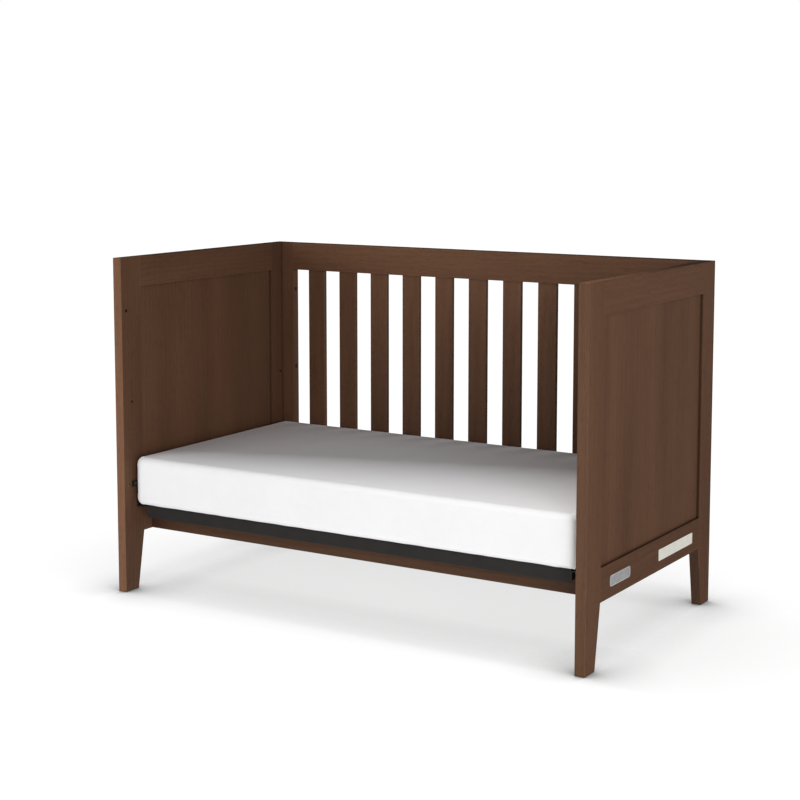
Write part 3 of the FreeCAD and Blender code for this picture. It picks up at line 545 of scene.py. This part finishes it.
# The mattress is a slab with upright corners of radius CORNER and long edges of radius EDGE. Its
# sheet turns in underneath by HEM. Filling swells it by the two swells.
CORNER = 0.028
EDGE = 0.020
HEM = 0.090
HEM_CORNER = 0.075
TOP_SWELL = 0.0055
SIDE_SWELL = 0.0020
SHEET_THICKNESS = 0.0009
CELL = 0.012
CORNER_STEPS = 10
LOW_EDGE_STEPS = 6
SIDE_STEPS = 9
HIGH_EDGE_STEPS = 7
SLAB_LOW, SLAB_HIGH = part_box("fitted_sheet")
SLAB_CENTRE = (SLAB_LOW + SLAB_HIGH) / 2
SLAB_HALF = (SLAB_HIGH - SLAB_LOW) / 2
# Each corner of the outline: the signs of its X and Y, and the angle at which it starts.
TURNS = ((1, -1, -90), (1, 1, 0), (-1, 1, 90), (-1, -1, 180))


def steps_along(cell):
    """How many cells of that size go along the length and the width of the slab."""
    return (round(2 * (SLAB_HALF.x - CORNER) / cell), round(2 * (SLAB_HALF.y - CORNER) / cell))


def outline(inset, corner, cell=CELL):
    """Points round a rounded rectangle this far inside the sheet's outline, anticlockwise.
    Every outline has the same number of points, so that rings can be joined."""
    steps_x, steps_y = steps_along(cell)
    half_x = SLAB_HALF.x - inset
    half_y = SLAB_HALF.y - inset
    points = []
    for side, (sign_x, sign_y, start) in enumerate(TURNS):
        centre_x = sign_x * (half_x - corner)
        centre_y = SLAB_CENTRE.y + sign_y * (half_y - corner)
        for i in range(CORNER_STEPS + 1):
            angle = math.radians(start + 90 * i / CORNER_STEPS)
            points.append((centre_x + corner * math.cos(angle), centre_y + corner * math.sin(angle)))
        steps = steps_y if side % 2 == 0 else steps_x
        next_x, next_y, next_start = TURNS[(side + 1) % 4]
        end_angle = math.radians(next_start)
        end = (next_x * (half_x - corner) + corner * math.cos(end_angle),
               SLAB_CENTRE.y + next_y * (half_y - corner) + corner * math.sin(end_angle))
        begin = points[-1]
        for i in range(1, steps):
            part = i / steps
            points.append((begin[0] + (end[0] - begin[0]) * part,
                           begin[1] + (end[1] - begin[1]) * part))
    return points


def slab_mesh(rings, close_bottom, cell=CELL):
    """A surface through rings of (inset, corner radius, height), closed over the top."""
    made = bmesh.new()
    rows = []
    for inset, corner, height in rings:
        rows.append([made.verts.new((x, y, height)) for x, y in outline(inset, corner, cell)])
    for first, second in zip(rows, rows[1:]):
        count = len(first)
        for j in range(count):
            k = (j + 1) % count
            made.faces.new((first[j], first[k], second[k], second[j]))
    steps_x, steps_y = steps_along(cell)
    flats = [(rings[-1], False)]
    if close_bottom:
        flats.append((rings[0], True))
    for (inset, corner, height), downward in flats:
        half_x = SLAB_HALF.x - inset
        half_y = SLAB_HALF.y - inset
        grid = [[made.verts.new((-half_x + 2 * half_x * i / steps_x,
                                 SLAB_CENTRE.y - half_y + 2 * half_y * j / steps_y, height))
                 for j in range(steps_y + 1)] for i in range(steps_x + 1)]
        for i in range(steps_x):
            for j in range(steps_y):
                corners = [grid[i][j], grid[i + 1][j], grid[i + 1][j + 1], grid[i][j + 1]]
                made.faces.new(list(reversed(corners)) if downward else corners)
    bmesh.ops.remove_doubles(made, verts=made.verts, dist=1e-5)
    bmesh.ops.dissolve_degenerate(made, edges=made.edges, dist=1e-6)
    return made


def quarter(start_inset, corner, radius, low_height, steps, upward):
    """Rings round a horizontal edge: from the side up onto the top, or from below up to the side.
    corner is the upright corner's radius at the side."""
    rings = []
    for i in range(1, steps + 1):
        angle = math.pi / 2 * i / steps
        if upward:
            inset = start_inset + radius * (1 - math.cos(angle))
            height = low_height + radius * math.sin(angle)
        else:
            inset = start_inset + radius * (1 - math.sin(angle))
            height = low_height + radius * (1 - math.cos(angle))
        rings.append((inset, corner - (inset - start_inset), height))
    return rings


def shell_rings(offset, hem_steps):
    """Rings of the sheet, moved inward by offset, before the filling swells it. The first is
    the free edge of the hem."""
    bottom = SLAB_LOW.z + offset
    offset += SIDE_SWELL
    top = SLAB_HIGH.z - offset + SIDE_SWELL - TOP_SWELL
    corner = CORNER - offset
    edge = EDGE - offset
    rings = []
    for i in range(hem_steps):
        part = i / hem_steps
        inset = HEM + (offset + edge - HEM) * part
        own_corner = HEM_CORNER + (corner - edge - HEM_CORNER) * part
        rings.append((inset, own_corner, bottom))
    rings.append((offset + edge, corner - edge, bottom))
    rings += quarter(offset, corner, edge, bottom, LOW_EDGE_STEPS, False)
    for i in range(1, SIDE_STEPS + 1):
        rings.append((offset, corner, bottom + edge + (top - bottom - 2 * edge) * i / SIDE_STEPS))
    rings += quarter(offset, corner, edge, top - edge, HIGH_EDGE_STEPS, True)
    rings.append((offset + edge + 0.5 * (corner - edge), 0.5 * (corner - edge), top))
    rings.append((offset + corner, 0.0, top))
    return rings


FILLING_CELL = 0.022
FILLING_PRESSURE = 4.0
FILLING_FRAMES = 16
NEIGHBOURS = 8


def simulate_filling():
    """A closed slab, held where it rests and filled as a cushion by a cloth simulation.
    Returns the points of the slab before and after."""
    trial = mesh_object("mattress_filling", slab_mesh(shell_rings(0.0, 1)[1:], True, FILLING_CELL),
                        TICKING)
    before = [vert.co.copy() for vert in trial.data.vertices]
    held = trial.vertex_groups.new(name="held")
    held.add([i for i, place in enumerate(before) if place.z < SLAB_LOW.z + 0.001], 1.0, "REPLACE")
    cloth = trial.modifiers.new("cloth", "CLOTH")
    cloth.settings.vertex_group_mass = "held"
    cloth.settings.use_pressure = True
    cloth.settings.uniform_pressure_force = FILLING_PRESSURE
    cloth.settings.effector_weights.gravity = 0
    for step in range(1, FILLING_FRAMES + 1):
        scene.frame_set(step)
    evaluated = trial.evaluated_get(bpy.context.evaluated_depsgraph_get())
    after = [vert.co.copy() for vert in evaluated.to_mesh().vertices]
    evaluated.to_mesh_clear()
    bpy.data.objects.remove(trial)
    scene.frame_set(1)
    return before, after


def filling_moves():
    """The simulated moves, scaled so that the slab just fills the CAD solid's box."""
    before, after = simulate_filling()
    moves = [end - start for start, end in zip(before, after)]
    rise = max(move.z for move in moves)
    push = max(math.hypot(move.x, move.y) for move in moves)
    tree = kdtree.KDTree(len(before))
    for i, place in enumerate(before):
        tree.insert(place, i)
    tree.balance()
    return tree, [Vector((move.x * SIDE_SWELL / push, move.y * SIDE_SWELL / push,
                          move.z * TOP_SWELL / rise)) for move in moves]


filling_tree, swelling = filling_moves()


def soften(point):
    """A point of the slab moved as the filling swells the mattress near it."""
    move = Vector()
    total = 0.0
    for place, index, distance in filling_tree.find_n(point, NEIGHBOURS):
        weight = 1 / (distance * distance + 1e-5)
        move += swelling[index] * weight
        total += weight
    return point + move / total


# The foam core in its ticking. Its underside is quilted in the middle, and the border round the
# quilting is raised to leave room for the sheet's hem.
CORE_OFFSET = 0.0016
QUILT_INSET = 0.110
QUILT_PITCH = 0.075
QUILT_DEPTH = 0.0022
QUILT_SEAM = 1.6
BORDER_RISE = 0.0035
UNDERSIDE = ((0.150, 0.0), (QUILT_INSET, 0.030), (0.100, 0.030), (0.088, 0.028),
             (0.060, 0.024), (0.036, 0.020))


def core_rings():
    """Rings of the core: its underside from the middle outward, then its sides and top."""
    rings = shell_rings(CORE_OFFSET, 1)[1:]
    bottom = rings[0][2]
    under = [(inset, corner, bottom + (0.0 if inset >= QUILT_INSET else BORDER_RISE))
             for inset, corner in UNDERSIDE]
    return under + rings


def is_quilted(point):
    """Whether a point of the core is on the part of its underside inside the border."""
    reach = QUILT_INSET + 0.002
    return (point.z < SLAB_LOW.z + 0.004 and abs(point.x) < SLAB_HALF.x - reach
            and abs(point.y - SLAB_CENTRE.y) < SLAB_HALF.y - reach)


core_mesh = slab_mesh(core_rings(), True)
for vert in core_mesh.verts:
    place = soften(vert.co)
    if is_quilted(vert.co):
        first = math.sin(math.pi * (vert.co.x + vert.co.y) / QUILT_PITCH)
        second = math.sin(math.pi * (vert.co.x - vert.co.y) / QUILT_PITCH)
        place.z += QUILT_DEPTH * (1 - min(1.0, QUILT_SEAM * math.sqrt(abs(first * second))))
    vert.co = place
core = mesh_object("mattress_foam", core_mesh, TICKING)
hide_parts("mattress_core")
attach(core, "mattress")

# The fitted sheet: one cloth over the top and sides, gathered by elastic underneath.
HEM_STEPS = 9
GATHER = 0.0010
# The hem stays this far off the slab's underside, and the rest of the sheet is drawn in by this.
HEM_CLEARANCE = 0.0004
DRAWN_IN = 0.0004
# Wrinkles: their height, and for those low on the sides the share of the height they fade out at.
WRINKLE_SEED = Vector((3.7, 1.9, 5.1))
BROAD_WRINKLE = 0.00025
LOW_WRINKLE = 0.0009
LOW_WRINKLE_TOP = 0.45
# Drag folds: their height, how many fan out, and how far they reach along the side and up it.
DRAG_FOLD = 0.0007
DRAG_COUNT = 11
DRAG_LENGTH = 0.16
DRAG_TOP = 0.85
# The folds' directions are taken from a point this far beyond the corner and below the slab.
FAN_BEYOND = 0.012
FAN_BELOW = 0.004
FAN_HEIGHT = 0.133


def rise_share(point):
    """0 at the underside of the slab, 1 at its top."""
    return (point.z - SLAB_LOW.z) / (SLAB_HIGH.z - SLAB_LOW.z)


def wrinkle(point):
    """How far the stretched cloth stands off the slab: faint drag lines, stronger low down."""
    broad = noise.noise(point * 5.5 + WRINKLE_SEED)
    vertical = noise.noise(Vector((point.x * 26, point.y * 26, point.z * 7)) + WRINKLE_SEED)
    low_edge = max(0.0, 1 - rise_share(point) / LOW_WRINKLE_TOP)
    return BROAD_WRINKLE * broad + LOW_WRINKLE * low_edge * vertical


def corner_drag(point):
    """Folds that fan out from each lower corner, where the elastic pulls hardest."""
    corner_x = math.copysign(SLAB_HALF.x - CORNER, point.x)
    corner_y = SLAB_CENTRE.y + math.copysign(SLAB_HALF.y - CORNER, point.y - SLAB_CENTRE.y)
    away = math.hypot(point.x - corner_x, point.y - corner_y)
    rise = rise_share(point)
    reach = math.hypot(away / DRAG_LENGTH, rise / DRAG_TOP)
    if reach >= 1:
        return 0.0
    fan = math.atan2(rise * FAN_HEIGHT + FAN_BELOW, max(0.0, away - CORNER) + FAN_BEYOND)
    waves = math.sin(fan * DRAG_COUNT + 2.2 * noise.noise(point * 9 + WRINKLE_SEED))
    return DRAG_FOLD * waves * (1 - reach) ** 1.5


def hem_rise(point):
    """How far the gathered hem stands up from the slab's underside."""
    inset_x = SLAB_HALF.x - abs(point.x)
    inset_y = SLAB_HALF.y - abs(point.y - SLAB_CENTRE.y)
    depth = min(1.0, max(0.0, (min(inset_x, inset_y) - EDGE) / (HEM - EDGE)))
    along = point.x if inset_y < inset_x else point.y
    gather = noise.noise(Vector((along * 75, depth * 0.8, 4.2)))
    gather += 0.5 * noise.noise(Vector((along * 160, 1, 0)))
    return HEM_CLEARANCE + GATHER * depth * (1.0 + 1.4 * gather)


sheet_mesh = slab_mesh(shell_rings(0.0, HEM_STEPS), False)
bmesh.ops.subdivide_edges(sheet_mesh, edges=sheet_mesh.edges[:], cuts=1, use_grid_fill=True)
sheet_mesh.normal_update()
moved = []
for vert in sheet_mesh.verts:
    place = soften(vert.co)
    if vert.co.z < SLAB_LOW.z + 0.0005:
        place.z += hem_rise(vert.co)
    else:
        place += vert.normal * (wrinkle(vert.co) + corner_drag(vert.co) - DRAWN_IN)
    moved.append(place)
for vert, place in zip(sheet_mesh.verts, moved):
    vert.co = place
sheet = mesh_object("fitted_cotton_sheet", sheet_mesh, SHEET_COTTON)
thicken = sheet.modifiers.new("thickness", "SOLIDIFY")
thicken.thickness = SHEET_THICKNESS
thicken.offset = -1
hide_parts("fitted_sheet")
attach(sheet, "mattress")

# Elastic in the hem, and a sewn seam up each corner of the sheet.
CORD_SIDES = 8
ELASTIC_RADIUS = 0.0016
ELASTIC_RISE = 0.0022
# Each ruffle of the elastic: its height, and its angle from one point of the outline to the next.
RUFFLES = ((0.00036, 2.4), (0.00024, 1.1))
elastic_mesh = bmesh.new()
elastic_path = []
for i, (x, y) in enumerate(outline(HEM, HEM_CORNER)):
    ruffle = sum(size * math.sin(i * turn) for size, turn in RUFFLES)
    elastic_path.append(Vector((x, y, SLAB_LOW.z + ELASTIC_RISE + ruffle)))
sweep(elastic_mesh, elastic_path, ELASTIC_RADIUS, CORD_SIDES, closed=True, flatten=0.8)
elastic = mesh_object("sheet_elastic", elastic_mesh, SHEET_COTTON)
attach(elastic, "mattress")

SEAM_RADIUS = 0.0009
seam_mesh = bmesh.new()
for sign_x, sign_y, start in TURNS:
    angle = math.radians(start + 45)
    diagonal = Vector((math.cos(angle), math.sin(angle), 0))
    path = []
    for inset, corner, height in shell_rings(0.0, HEM_STEPS)[2:-2]:
        centre = Vector((sign_x * (SLAB_HALF.x - inset - corner),
                         SLAB_CENTRE.y + sign_y * (SLAB_HALF.y - inset - corner), height))
        path.append(soften(centre + diagonal * (corner - DRAWN_IN)))
    sweep(seam_mesh, path, SEAM_RADIUS, CORD_SIDES)
seams = mesh_object("sheet_corner_seams", seam_mesh, SHEET_COTTON)
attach(seams, "mattress")


# ------------------------------------------------------------------------ floor, lights

FLOOR_HALF = 30.0
FLOOR_GREY = (0.20, 0.20, 0.20, 1)
FLOOR_BOUNCE = 0.71
# How far the bed's and a foot's shade reach over the floor, and the glow left where each is
# deepest.
BED_REACH = 1.1
FOOT_REACH = 0.20
BED_SHADE = 0.70
FOOT_SHADE = 0.18


def floor_material():
    """Pale studio floor. It glows to the camera, less so near what stands on it, and lights
    the bed softly from below as a white sweep does."""
    material, tree = new_material("studio_floor")
    wide = open_share(tree, BED_REACH, 12)
    near = open_share(tree, FOOT_REACH, 12)
    glow = calc(tree, "MULTIPLY", remap(tree, wide, 0.35, 0.97, BED_SHADE, 1.0),
                remap(tree, near, 0.45, 0.97, FOOT_SHADE, 1.0))
    paths = node(tree, "ShaderNodeLightPath").outputs
    strength = weighted(tree, (paths["Is Camera Ray"], glow), (paths["Is Diffuse Ray"], FLOOR_BOUNCE))
    inputs = {"Color": (1, 1, 1, 1), "Strength": strength}
    light = node(tree, "ShaderNodeEmission", inputs).outputs[0]
    matt = node(tree, "ShaderNodeBsdfDiffuse", {"Color": FLOOR_GREY}).outputs[0]
    both = node(tree, "ShaderNodeAddShader", {0: light, 1: matt}).outputs[0]
    node(tree, "ShaderNodeOutputMaterial", {"Surface": both})
    return material


floor_mesh = bmesh.new()
floor_mesh.faces.new([floor_mesh.verts.new((x * FLOOR_HALF, y * FLOOR_HALF, 0.0))
                      for x, y in ((-1, -1), (1, -1), (1, 1), (-1, 1))])
floor = mesh_object("floor", floor_mesh, floor_material(), smooth=False)

AMBIENT = 0.165
AMBIENT_GLOSSY = 0.0825
world = bpy.data.worlds.new("studio")
scene.world = world
world.use_nodes = True
tree = world.node_tree
tree.nodes.clear()
paths = node(tree, "ShaderNodeLightPath").outputs
strength = remap(tree, paths["Is Glossy Ray"], 0.0, 1.0, AMBIENT, AMBIENT_GLOSSY)
strength = remap(tree, paths["Is Camera Ray"], 0.0, 1.0, strength, 1.0)
sky = node(tree, "ShaderNodeBackground", {"Color": (1, 1, 1, 1), "Strength": strength})
node(tree, "ShaderNodeOutputWorld", {"Surface": sky.outputs[0]})

TARGET = Vector((0, 0, 0.45))


def area_light(name, place, facing, size, energy, glossy):
    """A square soft box at a place, turned to face a direction."""
    data = bpy.data.lights.new(name, "AREA")
    data.shape = "SQUARE"
    data.size = size
    data.energy = energy
    obj = bpy.data.objects.new(name, data)
    scene.collection.objects.link(obj)
    obj.location = place
    obj.rotation_euler = (-facing).to_track_quat("Z", "Y").to_euler()
    obj.visible_glossy = glossy
    obj.visible_camera = False


def soft_light(name, azimuth, elevation, distance, size, level, glossy):
    """A soft box aimed at the bed. level is what it gives a white face turned to it."""
    turn = math.radians(azimuth)
    rise = math.radians(elevation)
    away = Vector((math.sin(turn) * math.cos(rise), -math.cos(turn) * math.cos(rise), math.sin(rise)))
    energy = level * math.pi ** 2 * distance ** 2
    area_light(name, TARGET + away * distance, -away, size, energy, glossy)


soft_light("key", azimuth=46, elevation=3, distance=6.0, size=3.2, level=0.61, glossy=True)
soft_light("left", azimuth=-28, elevation=3, distance=4.8, size=2.8, level=0.395, glossy=False)
soft_light("rear", azimuth=165, elevation=6, distance=6.5, size=3.0, level=0.25, glossy=False)

# This one hangs over the bed and faces forward, so it lights only what lies before it: the
# front of the mattress, more and more towards its edge.
TOP_PLACE = Vector((-0.45, -0.153, SLAB_HIGH.z + 2.2))
TOP_TURN = 0.30
area_light("top", TOP_PLACE, facing=Vector((math.sin(TOP_TURN), -math.cos(TOP_TURN), 0)),
           size=0.9, energy=178, glossy=False)
